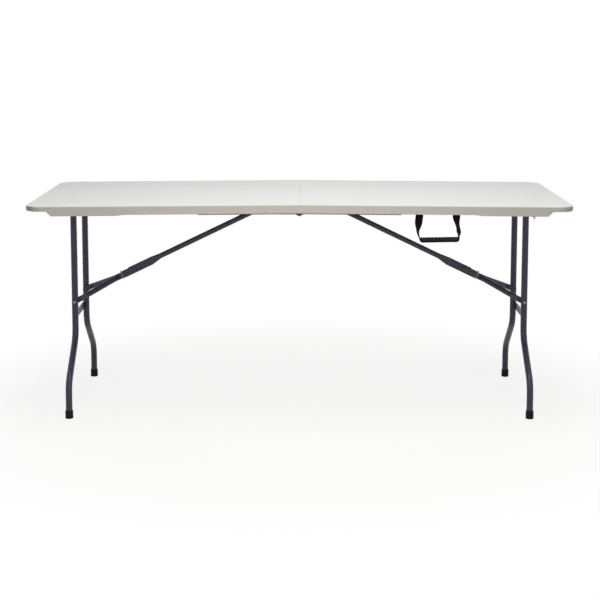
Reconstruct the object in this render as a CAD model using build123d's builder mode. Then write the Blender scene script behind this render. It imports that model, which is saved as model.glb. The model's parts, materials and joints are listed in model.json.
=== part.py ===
from build123d import *
import os
from math import atan2, cos, degrees, hypot, radians, sin

# Folding table, in millimetres: X along the length, the front at -Y, +Z up, origin on the floor.
# Each half is built flat: +X runs out from the seam, and z = 0 is the hinge axis.

# Table top
LENGTH = 1800.0
WIDTH = 740.0
CENTRE_HEIGHT = 738.0
CAMBER = 0.5
TOP = 35.0
PLATE = 6.5
LEDGE = 11.0
SKIRT_WALL = 6.0
SKIRT_MIDDLE = 29.5
SKIRT_DEEP = 32.5
SKIRT_SHALLOW = 17.0
SKIRT_RAMP_FROM_END = 302.0
SKIRT_RAMP_LONG = 24.0
SKIRT_CUT_FROM_END = 88.5
CORNER_RADIUS = 55.0
EDGE_RADIUS = 3.0
LOWER_EDGE_RADIUS = 2.0
SEAM_HALF = 0.15
SEAM_WALL = 8.0

# Side rails and their screws
RAIL_START = 14.0
RAIL_FROM_END = 85.0
RAIL_WIDTH = 20.0
RAIL_BOTTOM = 5.5
RAIL_WALL = 1.5
LEDGE_LIP = 4.0
SCREW_COUNT = 4
SCREW_FIRST = 120.0
SCREW_LAST_IN = 115.0
SCREW_RADIUS = 2.0
SCREW_HEAD = 4.0
SCREW_HEAD_HIGH = 2.2
SCREW_TIP = 31.0
HOLE_GAP = 0.05

# Hinge leaves, rivets and pins
LEAF_TO_TAB = 47.0
LEAF_THICK = 4.0
LEAF_BOTTOM = 2.0
LEAF_HIGH = 18.0
LEAF_JOG = 48.0
LEAF_JOG_LONG = 27.0
LAYER_GAP = 0.6
SKIRT_GAP = 0.4
EYE_RADIUS = 4.6
PIN_RADIUS = 2.5
PIN_HEAD = 4.2
PIN_HEAD_HIGH = 0.9
LEAF_RIVET_COUNT = 3
LEAF_RIVET_FIRST = 110.0
LEAF_RIVET_LAST_IN = 14.0
LEAF_RIVET_RADIUS = 2.4
LEAF_RIVET_HEAD = 4.5
HEAD_HIGH = 1.3

# Leg frame
LEG_FROM_END = 123.0
LEG_PIVOT = 14.0
TUBE_RADIUS = 11.0
TUBE_WALL = 1.2
LEG_Y = 124.0
FOOT_IN = 84.0
BEND_HIGH = 245.0
BEND_LOW = 119.0
BEND_RADIUS = 75.0
RIVET_DROP = 343.0
BAR_DROP = 403.0
BAR_HIGH = 25.0
BAR_THICK = 4.0
FOOT_WALL = 2.5
FOOT_HIGH = 27.0
FOOT_FLOOR = 3.0
PIVOT_CLEAR = 16.0
PLUG_LONG = 20.0
PIVOT_PIN = 5.0
PIVOT_PIN_SHORT = 0.5
RIVET_RADIUS = 3.0
RIVET_HEAD = 5.0
RIVET_HEAD_HIGH = 2.0

# Braces
CROSS_X = 50.0
CROSS_Z = 15.5
CROSS_RADIUS = 7.0
CROSS_WALL = 1.2
SLEEVE_RADIUS = 10.5
SLEEVE_LONG = 40.0
BRACE_RADIUS = 9.25
BRACE_WALL = 1.2
BRACE_OFFSET = 3.0
CRIMP_START = 104.0
CRIMP_END = 70.0
FLAT_THICK = 4.4
FLAT_ABOVE = 15.0
FLAT_BELOW = 13.0
TAIL_STEP = 18.0
TAIL_END = 41.0
TAIL_LOWER = 2.0
ARM_THICK = 4.0
ARM_HIGH = 21.5
ARM_END_HIGH = 19.0
ARM_RADIUS = 9.25
ARM_GAP = 0.4
ARM_NECK = 57.0
ARM_FLARE = 24.0
ARM_END_LONG = 24.0
STUD_HIGH = 2.0
CLIP_FROM_TAIL = 4.0
CLIP_WIRE = 1.6
CLIP_CLEAR = 0.8
CLIP_SIDE_CLEAR = 1.9
CLIP_MOUTH_CLEAR = 1.7

# Carrying handle
HANDLE_FROM_END = 447.5
STRAP_SPREAD = 121.0
STRAP_WIDE = 25.0
STRAP_THICK = 1.6
STRAP_FOOT = 8.0
STRAP_PIVOT_Z = 2.4
STRAP_DROP = 72.5
TAB_GAP = 0.4
TAB_TOP = 18.0
PLATE_THICK = 1.5
PLATE_HIGH = 11.0
GRIP_LONG = 130.0
GRIP_HIGH = 15.5
GRIP_DEEP = 20.0
GRIP_SHIFT = 8.5
GRIP_MARKS = 7
GRIP_PITCH = 11.1

# Latch
LATCH_FROM_LEG = 12.0
LATCH_Z = 12.5
HOOK_WIDE = 9.0
HOOK_THICK = 3.0
HOOK_STAND = 4.0
HOOK_TIP = -7.0
KEEPER_Z = 3.5
KEEPER_RADIUS = 2.0
KEEPER_THICK = 2.0

# Heights and places along the table that follow from the sizes above
HALF = LENGTH / 2
HINGE_Z = CENTRE_HEIGHT - TOP
UNDERSIDE = TOP - PLATE
RAIL_TOP = TOP - LEDGE
RAIL_END = HALF - RAIL_FROM_END
LEG_X = HALF - LEG_FROM_END
LATCH_X = LEG_X - LATCH_FROM_LEG
HANDLE_X = HALF - HANDLE_FROM_END
STRAP_X = (HANDLE_X - STRAP_SPREAD / 2, HANDLE_X + STRAP_SPREAD / 2)
GRIP_X = HANDLE_X + GRIP_SHIFT
LEAF_LENGTH = STRAP_X[0] - STRAP_WIDE / 2 - LEAF_TO_TAB

# Places across the table: the skirt, the two layers of hinge leaves, the rail and the leg frame
LAYER_STEP = LEAF_THICK + LAYER_GAP
SKIRT_IN = WIDTH / 2 - SKIRT_WALL
RAIL_OUT = SKIRT_IN - SKIRT_GAP - PIN_HEAD_HIGH - 2 * HOLE_GAP - LEAF_THICK - LAYER_STEP
RAIL_IN = RAIL_OUT - RAIL_WIDTH
RAIL_Y = RAIL_OUT - RAIL_WIDTH / 2
LEDGE_IN = RAIL_IN - LEDGE_LIP
PIVOT_HALF = RAIL_IN - PIVOT_CLEAR
PIVOT_PIN_END = RAIL_OUT - PIVOT_PIN_SHORT
FOOT_Y = WIDTH / 2 - FOOT_IN
FOOT_RADIUS = TUBE_RADIUS + FOOT_WALL
BAR_OUT = TUBE_RADIUS - BAR_THICK / 2


def row_of(count, first, last):
    """Evenly spaced places along a line."""
    return [first + (last - first) * index / (count - 1) for index in range(count)]


SCREW_X = row_of(SCREW_COUNT, SCREW_FIRST, RAIL_END - SCREW_LAST_IN)
LEAF_RIVET_X = row_of(LEAF_RIVET_COUNT, LEAF_RIVET_FIRST, LEAF_LENGTH - LEAF_RIVET_LAST_IN)


def at_rest(x, z):
    """Where a point of the flat right half is once the half is tilted about the hinge."""
    tilt = radians(CAMBER)
    return (x * cos(tilt) + z * sin(tilt), HINGE_Z - x * sin(tilt) + z * cos(tilt))


# The brace is straight when the legs are out and folds back on itself when they are stowed.
pivot_x, pivot_z = at_rest(LEG_X, LEG_PIVOT)
cross_x, cross_z = at_rest(CROSS_X, CROSS_Z)
reach_x = pivot_x - cross_x
reach_z = cross_z - (pivot_z - RIVET_DROP)
BRACE_OPEN = hypot(reach_x, reach_z)
BRACE_STOWED = hypot(LEG_X - RIVET_DROP - CROSS_X, LEG_PIVOT - CROSS_Z)
UPPER_LONG = (BRACE_OPEN + BRACE_STOWED) / 2
LOWER_LONG = (BRACE_OPEN - BRACE_STOWED) / 2
BRACE_ANGLE = degrees(atan2(reach_z, reach_x))
elbow_x = cross_x + UPPER_LONG * cos(radians(BRACE_ANGLE))
elbow_z = cross_z - UPPER_LONG * sin(radians(BRACE_ANGLE))
LEG_LONG = pivot_z

# Poses of the right half, and the half turn that makes the left one
ACROSS = (90, 0, 0)
half_pose = Location((0, 0, HINGE_Z)) * Rot(0, CAMBER, 0)
leg_pose = Location((pivot_x, 0, pivot_z))
brace_pose = Location((cross_x, 0, cross_z)) * Rot(0, BRACE_ANGLE, 0)
arm_pose = Location((elbow_x, 0, elbow_z)) * Rot(0, BRACE_ANGLE, 0)
turn = {"right": Location(), "left": Rot(0, 0, 180)}
SIDES = ("left", "right")

os.makedirs("parts", exist_ok=True)


def save(part, label):
    """Writes one named piece."""
    part.label = label
    export_step(part, f"parts/{label}.step")


def save_both(part, pose, label):
    """Writes a piece that each half has once."""
    for side in SIDES:
        save(turn[side] * pose * part, f"{side}_{label}")


def save_row(part, pose, label, sign):
    """Writes a piece on one long side of each half, named for where it ends up."""
    for side in SIDES:
        face = "front" if (sign < 0) == (side == "right") else "back"
        save(turn[side] * pose * part, f"{side}_{face}_{label}")


# Half top: one moulding, hollow underneath
with BuildPart() as panel:
    with BuildSketch(Plane.XY.offset(TOP)) as plan:
        with Locations((SEAM_HALF, 0)):
            Rectangle(HALF - SEAM_HALF, WIDTH, align=(Align.MIN, Align.CENTER))
        fillet(plan.vertices().group_by(Axis.X)[-1], CORNER_RADIUS)
    extrude(amount=-SKIRT_DEEP)
    rim = panel.faces().sort_by(Axis.Z)[-1].edges()
    fillet(rim.filter_by(lambda edge: edge.center().X > CORNER_RADIUS), EDGE_RADIUS)
    # The skirt's lower edge: shallow at the corners, deepest near the legs
    with BuildSketch(Plane.XZ) as edge_cut:
        rise = SKIRT_DEEP - SKIRT_SHALLOW
        ramp_end = HALF - SKIRT_RAMP_FROM_END
        cut_start = HALF - SKIRT_CUT_FROM_END
        Polygon(
            (-SEAM_WALL, TOP - SKIRT_MIDDLE),
            (ramp_end - SKIRT_RAMP_LONG, TOP - SKIRT_MIDDLE),
            (ramp_end, TOP - SKIRT_DEEP),
            (cut_start, TOP - SKIRT_DEEP),
            (cut_start + rise, TOP - SKIRT_SHALLOW),
            (LENGTH, TOP - SKIRT_SHALLOW),
            (LENGTH, -TOP),
            (-SEAM_WALL, -TOP),
            align=None,
        )
    extrude(amount=WIDTH, both=True, mode=Mode.SUBTRACT)
    low_level = TOP - SKIRT_SHALLOW + LOWER_EDGE_RADIUS / 2
    lower = panel.edges().filter_by(lambda edge: edge.bounding_box().max.Z < low_level)
    end_edge = lower.sort_by(Axis.X)[-1:]
    fillet(lower.filter_by(Axis.Y, reverse=True) + end_edge, LOWER_EDGE_RADIUS)
    # Space for the rails, then the deeper space for the folded legs
    with BuildSketch(Plane.XY) as rail_space:
        with Locations((SEAM_WALL, 0)):
            Rectangle(HALF - SKIRT_WALL - SEAM_WALL, 2 * SKIRT_IN, align=(Align.MIN, Align.CENTER))
        fillet(rail_space.vertices().group_by(Axis.X)[-1], CORNER_RADIUS - SKIRT_WALL)
    extrude(amount=RAIL_TOP, mode=Mode.SUBTRACT)
    with BuildSketch(Plane.XY) as leg_space:
        with Locations((SEAM_WALL, 0)):
            Rectangle(HALF - 2 * SEAM_WALL - SKIRT_WALL, 2 * LEDGE_IN, align=(Align.MIN, Align.CENTER))
        fillet(leg_space.vertices(), SEAM_WALL)
    extrude(amount=UNDERSIDE, mode=Mode.SUBTRACT)
    # Ways through the seam wall for the hinge leaves
    way_in = RAIL_OUT - 2 * PIN_HEAD_HIGH
    with Locations(*[(0, sign * (SKIRT_IN + way_in) / 2, 0) for sign in (-1, 1)]):
        Box(4 * SEAM_WALL, SKIRT_IN - way_in, 2 * RAIL_TOP, mode=Mode.SUBTRACT)
    # Pilot holes for the rail screws
    with Locations(*[(x, sign * RAIL_Y, 0) for x in SCREW_X for sign in (-1, 1)]):
        Cylinder(
            SCREW_RADIUS + HOLE_GAP,
            SCREW_TIP + HOLE_GAP,
            align=(Align.CENTER, Align.CENTER, Align.MIN),
            mode=Mode.SUBTRACT,
        )
save_both(panel.part, half_pose, "panel")


def make_rail(sign, side_holes):
    """Square tube with holes for the pivot, the leaf rivets, the screws and what is bolted to its side."""
    with BuildPart() as rail:
        with BuildSketch(Plane.YZ.offset(RAIL_START)):
            with Locations((sign * RAIL_Y, (RAIL_TOP + RAIL_BOTTOM) / 2)):
                high = RAIL_TOP - RAIL_BOTTOM
                Rectangle(RAIL_WIDTH, high)
                Rectangle(RAIL_WIDTH - 2 * RAIL_WALL, high - 2 * RAIL_WALL, mode=Mode.SUBTRACT)
        extrude(amount=RAIL_END - RAIL_START)
        with Locations(*[(x, sign * RAIL_Y, RAIL_TOP / 2) for x in SCREW_X]):
            Cylinder(SCREW_RADIUS + HOLE_GAP, 2 * RAIL_TOP, mode=Mode.SUBTRACT)
        with Locations(Location((LEG_X, sign * RAIL_Y, LEG_PIVOT), ACROSS)):
            Cylinder(PIVOT_PIN + HOLE_GAP, 2 * RAIL_WIDTH, mode=Mode.SUBTRACT)
        rivet_z = LEAF_BOTTOM + LEAF_HIGH * 0.6
        holes = [(x, rivet_z, LEAF_RIVET_RADIUS) for x in LEAF_RIVET_X] + side_holes
        for x, z, radius in holes:
            with Locations(Location((x, sign * RAIL_OUT, z), ACROSS)):
                Cylinder(radius + HOLE_GAP, RAIL_WIDTH / 2, mode=Mode.SUBTRACT)
    return rail.part


# Side rails: the front one on the right also holds the handle and the latch
tab_screw_z = (TAB_TOP + STRAP_PIVOT_Z) / 2
handle_holes = [(x, tab_screw_z, SCREW_RADIUS) for x in STRAP_X] + [(LATCH_X, LATCH_Z, SCREW_RADIUS)]
save(half_pose * make_rail(-1, handle_holes), "right_front_rail")
save(half_pose * make_rail(1, []), "right_back_rail")
save(turn["left"] * half_pose * make_rail(1, []), "left_front_rail")
save(turn["left"] * half_pose * make_rail(-1, []), "left_back_rail")


def make_leaf(sign):
    """Flat bar with an eye at the seam: one side's leaf jogs out so that the two eyes pass each other."""
    jog = LAYER_STEP if sign > 0 else 0.0
    near, far = RAIL_OUT, RAIL_OUT + LEAF_THICK
    with BuildPart() as leaf:
        with BuildSketch(Plane.XY.offset(-2 * EYE_RADIUS)):
            Polygon(
                (-2 * EYE_RADIUS, sign * (near + jog)),
                (LEAF_JOG, sign * (near + jog)),
                (LEAF_JOG + LEAF_JOG_LONG, sign * near),
                (LEAF_LENGTH, sign * near),
                (LEAF_LENGTH, sign * far),
                (LEAF_JOG + LEAF_JOG_LONG, sign * far),
                (LEAF_JOG, sign * (far + jog)),
                (-2 * EYE_RADIUS, sign * (far + jog)),
                align=None,
            )
        extrude(amount=2 * EYE_RADIUS + LEAF_BOTTOM + LEAF_HIGH)
        with BuildSketch(Plane.XZ):
            Circle(EYE_RADIUS)
            Polygon(
                (EYE_RADIUS * 0.4, -EYE_RADIUS * 0.9),
                (3 * EYE_RADIUS, LEAF_BOTTOM),
                (LEAF_LENGTH, LEAF_BOTTOM),
                (LEAF_LENGTH, LEAF_BOTTOM + LEAF_HIGH),
                (2.5 * EYE_RADIUS, LEAF_BOTTOM + LEAF_HIGH),
                (-EYE_RADIUS * 0.7, EYE_RADIUS * 0.7),
                align=None,
            )
            Circle(PIN_RADIUS + HOLE_GAP, mode=Mode.SUBTRACT)
        extrude(amount=WIDTH, both=True, mode=Mode.INTERSECT)
        for x in LEAF_RIVET_X:
            with Locations(Location((x, sign * RAIL_OUT, LEAF_BOTTOM + LEAF_HIGH * 0.6), ACROSS)):
                Cylinder(LEAF_RIVET_RADIUS + HOLE_GAP, 4 * LEAF_THICK, mode=Mode.SUBTRACT)
    return leaf.part


# Hinge leaves
for sign in (-1, 1):
    save_row(make_leaf(sign), half_pose, "hinge_leaf", sign)

# Rivets that hold the leaves to the rails
with BuildPart() as leaf_rivets:
    for x in LEAF_RIVET_X:
        for sign in (-1, 1):
            inner = RAIL_OUT - RAIL_WALL
            outer = RAIL_OUT + LEAF_THICK
            rivet_z = LEAF_BOTTOM + LEAF_HIGH * 0.6
            with Locations(Location((x, sign * (inner + outer) / 2, rivet_z), ACROSS)):
                Cylinder(LEAF_RIVET_RADIUS, outer - inner)
            with Locations(
                Location((x, sign * (inner - HEAD_HIGH / 2), rivet_z), ACROSS),
                Location((x, sign * (outer + HEAD_HIGH / 2), rivet_z), ACROSS),
            ):
                Cylinder(LEAF_RIVET_HEAD, HEAD_HIGH)
save_both(leaf_rivets.part, half_pose, "hinge_rivets")

# Hinge pins: one through each pair of eyes
with BuildPart() as pins:
    inner = RAIL_OUT - 2 * HOLE_GAP
    outer = RAIL_OUT + LAYER_STEP + LEAF_THICK + 2 * HOLE_GAP
    for sign in (-1, 1):
        with Locations(Location((0, sign * (inner + outer) / 2, 0), ACROSS)):
            Cylinder(PIN_RADIUS, outer - inner)
        with Locations(
            Location((0, sign * (inner - PIN_HEAD_HIGH / 2), 0), ACROSS),
            Location((0, sign * (outer + PIN_HEAD_HIGH / 2), 0), ACROSS),
        ):
            Cylinder(PIN_HEAD, PIN_HEAD_HIGH)
save(Location((0, 0, HINGE_Z)) * pins.part, "hinge_pins")

# Cross tubes that carry the braces
with BuildPart() as cross_tube:
    with Locations(Location((CROSS_X, 0, CROSS_Z), ACROSS)):
        Cylinder(CROSS_RADIUS, 2 * RAIL_IN)
        Cylinder(CROSS_RADIUS - CROSS_WALL, 2 * RAIL_IN, mode=Mode.SUBTRACT)
save_both(cross_tube.part, half_pose, "cross_tube")

# Screws that hold the rails to the top
with BuildPart() as rail_screws:
    with Locations(*[(x, sign * RAIL_Y, RAIL_BOTTOM) for x in SCREW_X for sign in (-1, 1)]):
        Cylinder(SCREW_RADIUS, SCREW_TIP - RAIL_BOTTOM, align=(Align.CENTER, Align.CENTER, Align.MIN))
        Cylinder(SCREW_HEAD, SCREW_HEAD_HIGH, align=(Align.CENTER, Align.CENTER, Align.MAX))
save_both(rail_screws.part, half_pose, "rail_screws")

# Pivot tube at the top of each leg frame
with BuildPart() as pivot_tube:
    with Locations(Location((0, 0, 0), ACROSS)):
        Cylinder(TUBE_RADIUS, 2 * PIVOT_HALF)
        Cylinder(TUBE_RADIUS - RAIL_WALL, 2 * PIVOT_HALF, mode=Mode.SUBTRACT)
save_both(pivot_tube.part, leg_pose, "pivot_tube")

# Plugs in the pivot tube, with the pins that turn in the rails
with BuildPart() as plugs:
    for sign in (-1, 1):
        with Locations(Location((0, sign * (PIVOT_HALF - PLUG_LONG / 2), 0), ACROSS)):
            Cylinder(TUBE_RADIUS - RAIL_WALL - HOLE_GAP, PLUG_LONG)
        with Locations(Location((0, sign * (PIVOT_HALF + PIVOT_PIN_END) / 2, 0), ACROSS)):
            Cylinder(PIVOT_PIN, PIVOT_PIN_END - PIVOT_HALF)
save_both(plugs.part, leg_pose, "pivot_plugs")


def make_leg(sign):
    """Tube swept down the leg's line: straight, out through two bends, then straight to the floor."""
    with BuildPart() as leg:
        with BuildLine(Plane.YZ) as line:
            FilletPolyline(
                (sign * LEG_Y, 0),
                (sign * LEG_Y, BEND_HIGH - LEG_LONG),
                (sign * FOOT_Y, BEND_LOW - LEG_LONG),
                (sign * FOOT_Y, FOOT_FLOOR - LEG_LONG),
                radius=BEND_RADIUS,
            )
        with BuildSketch(Plane(origin=(0, sign * LEG_Y, 0), z_dir=(0, 0, -1))):
            Circle(TUBE_RADIUS)
            Circle(TUBE_RADIUS - TUBE_WALL, mode=Mode.SUBTRACT)
        sweep(path=line.wires()[0])
        with Locations(Location((0, 0, 0), ACROSS)):
            Cylinder(TUBE_RADIUS, 2 * PIVOT_HALF, mode=Mode.SUBTRACT)
        with Locations(Location((0, sign * LEG_Y, -RIVET_DROP), ACROSS)):
            Cylinder(RIVET_RADIUS + HOLE_GAP, 4 * TUBE_RADIUS, mode=Mode.SUBTRACT)
    return leg.part


def make_foot(sign):
    """Cap over the leg's end, with a rounded lower rim."""
    with BuildPart() as foot:
        with Locations((0, sign * FOOT_Y, -LEG_LONG)):
            Cylinder(FOOT_RADIUS, FOOT_HIGH, align=(Align.CENTER, Align.CENTER, Align.MIN))
        fillet(foot.edges().group_by(Axis.Z)[0], 1.5)
        chamfer(foot.edges().group_by(Axis.Z)[-1], 0.8)
        with Locations((0, sign * FOOT_Y, FOOT_FLOOR - LEG_LONG)):
            Cylinder(
                TUBE_RADIUS + HOLE_GAP,
                FOOT_HIGH,
                align=(Align.CENTER, Align.CENTER, Align.MIN),
                mode=Mode.SUBTRACT,
            )
    return foot.part


# Legs and foot caps
for sign in (-1, 1):
    save_row(make_leg(sign), leg_pose, "leg", sign)
    save_row(make_foot(sign), leg_pose, "foot", sign)

# Flat bar between the legs, set outward so that the folded brace passes it
with BuildPart() as leg_bar:
    with Locations((BAR_OUT, 0, -BAR_DROP)):
        Box(BAR_THICK, 2 * LEG_Y, BAR_HIGH)
    with Locations((0, LEG_Y, -BAR_DROP), (0, -LEG_Y, -BAR_DROP)):
        Cylinder(TUBE_RADIUS, 2 * BAR_HIGH, mode=Mode.SUBTRACT)
solid_bar = leg_bar.part.solids().sort_by(SortBy.VOLUME)[-1]
save_both(Part(solid_bar.wrapped), leg_pose, "leg_bar")

# Rivets through the legs, flush where the arms lie against them
with BuildPart() as leg_rivets:
    for sign in (-1, 1):
        inner = LEG_Y - TUBE_RADIUS
        outer = LEG_Y + TUBE_RADIUS
        with Locations(Location((0, sign * (inner + outer) / 2, -RIVET_DROP), ACROSS)):
            Cylinder(RIVET_RADIUS, outer - inner)
        with Locations(Location((0, sign * (outer + RIVET_HEAD_HIGH / 2), -RIVET_DROP), ACROSS)):
            Cylinder(RIVET_HEAD, RIVET_HEAD_HIGH)
save_both(leg_rivets.part, leg_pose, "leg_rivets")

# Upper brace: a sleeve on the cross tube, a tube, and a flattened end with a tail past the elbow
with BuildPart() as brace:
    with Locations(Location((0, 0, 0), ACROSS)):
        Cylinder(SLEEVE_RADIUS, SLEEVE_LONG)
    with BuildSketch(Plane.YZ):
        with Locations((0, BRACE_OFFSET)):
            Circle(BRACE_RADIUS)
    extrude(amount=UPPER_LONG - CRIMP_START)
    with BuildSketch(Plane.YZ.offset(UPPER_LONG - CRIMP_START)):
        with Locations((0, BRACE_OFFSET)):
            RectangleRounded(2 * BRACE_RADIUS, 2 * BRACE_RADIUS, BRACE_RADIUS * 0.99)
    with BuildSketch(Plane.YZ.offset(UPPER_LONG - CRIMP_END)):
        with Locations((0, (FLAT_ABOVE - FLAT_BELOW) / 2)):
            RectangleRounded(FLAT_THICK, FLAT_ABOVE + FLAT_BELOW, FLAT_THICK * 0.45)
    loft(ruled=True)
    with BuildSketch(Plane.XZ) as flat:
        Polygon(
            (UPPER_LONG - CRIMP_END, -FLAT_BELOW),
            (UPPER_LONG + TAIL_END, -FLAT_BELOW),
            (UPPER_LONG + TAIL_END, FLAT_ABOVE - TAIL_LOWER),
            (UPPER_LONG + TAIL_STEP, FLAT_ABOVE - TAIL_LOWER),
            (UPPER_LONG + TAIL_STEP - TAIL_LOWER, FLAT_ABOVE),
            (UPPER_LONG - CRIMP_END, FLAT_ABOVE),
            align=None,
        )
        fillet(flat.vertices().group_by(Axis.X)[-1], 3)
    extrude(amount=FLAT_THICK / 2, both=True)
    with BuildSketch(Plane.YZ):
        with Locations((0, BRACE_OFFSET)):
            Circle(BRACE_RADIUS - BRACE_WALL)
    extrude(amount=UPPER_LONG - CRIMP_START, mode=Mode.SUBTRACT)
    with Locations(Location((0, 0, 0), ACROSS)):
        Cylinder(CROSS_RADIUS + HOLE_GAP, 2 * SLEEVE_LONG, mode=Mode.SUBTRACT)
    with Locations(Location((UPPER_LONG, 0, 0), ACROSS)):
        Cylinder(RIVET_RADIUS + HOLE_GAP, 2 * SLEEVE_LONG, mode=Mode.SUBTRACT)
save_both(brace.part, brace_pose, "brace")

# Levels of an arm across the table: beside the brace's flat end, then beside the leg
arm_in = FLAT_THICK / 2 + ARM_GAP
arm_mid = arm_in + ARM_THICK / 2
leg_face = LEG_Y - TUBE_RADIUS - ARM_GAP - ARM_THICK
leg_mid = leg_face + ARM_THICK / 2


def make_arm(sign):
    """Tube flattened at both ends: the ends lie along the fold, the tube runs out between them."""
    start = Vector(ARM_NECK, sign * arm_mid, 0)
    finish = Vector(LOWER_LONG - ARM_END_LONG, sign * leg_mid, 0)
    along = (finish - start).normalized()
    aside = Vector(-along.Y, along.X, 0)
    with BuildPart() as arm:
        for origin, way, across, wide, high, round_off in (
            (start, Vector(1, 0, 0), Vector(0, 1, 0), ARM_THICK, ARM_HIGH, ARM_THICK * 0.45),
            (start + along * ARM_FLARE, along, aside, 2 * ARM_RADIUS, 2 * ARM_RADIUS, ARM_RADIUS * 0.99),
            (finish - along * ARM_FLARE, along, aside, 2 * ARM_RADIUS, 2 * ARM_RADIUS, ARM_RADIUS * 0.99),
            (finish, Vector(1, 0, 0), Vector(0, 1, 0), ARM_THICK, ARM_END_HIGH, ARM_THICK * 0.45),
        ):
            with BuildSketch(Plane(origin=origin, x_dir=across, z_dir=way)):
                RectangleRounded(wide, high, round_off)
        loft(ruled=True)
        with BuildSketch(Plane.XZ.offset(-sign * arm_mid)):
            Circle(ARM_HIGH / 2)
            with Locations((ARM_NECK / 2, 0)):
                Rectangle(ARM_NECK, ARM_HIGH)
            Circle(RIVET_RADIUS + HOLE_GAP, mode=Mode.SUBTRACT)
        extrude(amount=ARM_THICK / 2, both=True)
        with BuildSketch(Plane.XZ.offset(-sign * leg_mid)):
            with Locations((LOWER_LONG, 0)):
                Circle(ARM_END_HIGH / 2)
            with Locations((LOWER_LONG - ARM_END_LONG / 2, 0)):
                Rectangle(ARM_END_LONG, ARM_END_HIGH)
        extrude(amount=ARM_THICK / 2, both=True)
    return arm.part


# Arms
for sign in (-1, 1):
    save_row(make_arm(sign), arm_pose, "arm", sign)

# Rivet at the elbow
with BuildPart() as elbow_rivet:
    outer = arm_in + ARM_THICK
    with Locations(Location((0, 0, 0), ACROSS)):
        Cylinder(RIVET_RADIUS, 2 * outer)
    for sign in (-1, 1):
        with Locations(Location((0, sign * (outer + RIVET_HEAD_HIGH / 2), 0), ACROSS)):
            Cylinder(RIVET_HEAD, RIVET_HEAD_HIGH)
save_both(elbow_rivet.part, arm_pose, "elbow_rivet")

# Rivet heads on the inner face of each arm's end
with BuildPart() as studs:
    for sign in (-1, 1):
        with Locations(Location((LOWER_LONG, sign * (leg_face - STUD_HIGH / 2), 0), ACROSS)):
            Cylinder(RIVET_HEAD, STUD_HIGH)
save_both(studs.part, arm_pose, "arm_studs")

# Wire lock clip past the brace's tail, open below so that the folded brace can come in between the arms
clip_at = TAIL_END + CLIP_FROM_TAIL
clip_side = arm_in + ARM_THICK + CLIP_SIDE_CLEAR + CLIP_WIRE
clip_top = FLAT_BELOW + CLIP_CLEAR + CLIP_WIRE
clip_low = -(ARM_HIGH / 2 + CLIP_CLEAR + CLIP_WIRE)
clip_mouth = FLAT_THICK / 2 + CLIP_MOUTH_CLEAR + CLIP_WIRE
with BuildPart() as clip:
    with BuildLine(Plane.YZ.offset(clip_at)) as wire:
        FilletPolyline(
            (-clip_mouth, clip_low),
            (-clip_side, clip_low),
            (-clip_side, clip_top),
            (clip_side, clip_top),
            (clip_side, clip_low),
            (clip_mouth, clip_low),
            radius=2 * CLIP_WIRE,
        )
    with BuildSketch(Plane(origin=(clip_at, -clip_mouth, clip_low), z_dir=(0, -1, 0))):
        Circle(CLIP_WIRE)
    sweep(path=wire.wires()[0])
save_both(clip.part, arm_pose, "lock_clip")

# Handle grip: a rounded bar with finger marks along its upper front
strap_y = -(RAIL_OUT + STRAP_THICK / 2)
grip_top = STRAP_PIVOT_Z - STRAP_DROP
with BuildPart() as grip:
    with BuildSketch(Plane.YZ.offset(GRIP_X - GRIP_LONG / 2)):
        with Locations((strap_y, grip_top - GRIP_HIGH / 2)):
            RectangleRounded(GRIP_DEEP, GRIP_HIGH, GRIP_HIGH * 0.45)
    extrude(amount=GRIP_LONG)
    with BuildSketch(Plane.XZ) as ends:
        with Locations((GRIP_X, grip_top - GRIP_HIGH / 2)):
            Rectangle(GRIP_LONG, GRIP_HIGH)
        fillet(ends.vertices().group_by(Axis.Y)[0], GRIP_HIGH * 0.55)
        fillet(ends.vertices().group_by(Axis.Y)[-1], GRIP_HIGH * 0.2)
    extrude(amount=WIDTH, both=True, mode=Mode.INTERSECT)
    mark_y = strap_y - GRIP_DEEP / 2 + GRIP_HIGH * 0.14
    mark_z = grip_top - GRIP_HIGH * 0.16
    for index in range(GRIP_MARKS):
        x = GRIP_X + (index - (GRIP_MARKS - 1) / 2) * GRIP_PITCH
        with Locations(Location((x, mark_y, mark_z), (45, 0, 0))):
            Box(GRIP_PITCH * 0.45, 4, 3, mode=Mode.SUBTRACT)
save(half_pose * grip.part, "handle_grip")

# Webbing straps, as simple flat pieces that narrow towards the grip
for name, x, inward in (("inner", STRAP_X[0], 1), ("outer", STRAP_X[1], -1)):
    foot_x = GRIP_X - inward * (GRIP_LONG / 2 - STRAP_FOOT)
    with BuildPart() as strap:
        with BuildSketch(Plane.XZ.offset(-strap_y)):
            Polygon(
                (x - STRAP_WIDE / 2, STRAP_PIVOT_Z),
                (x + STRAP_WIDE / 2, STRAP_PIVOT_Z),
                (foot_x + STRAP_FOOT / 2, grip_top),
                (foot_x - STRAP_FOOT / 2, grip_top),
                align=None,
            )
        extrude(amount=STRAP_THICK / 2, both=True)
        with Locations(Location((x, strap_y, STRAP_PIVOT_Z), (0, 90, 0))):
            Cylinder(STRAP_THICK / 2, STRAP_WIDE)
    save(half_pose * strap.part, f"handle_strap_{name}")

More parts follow.
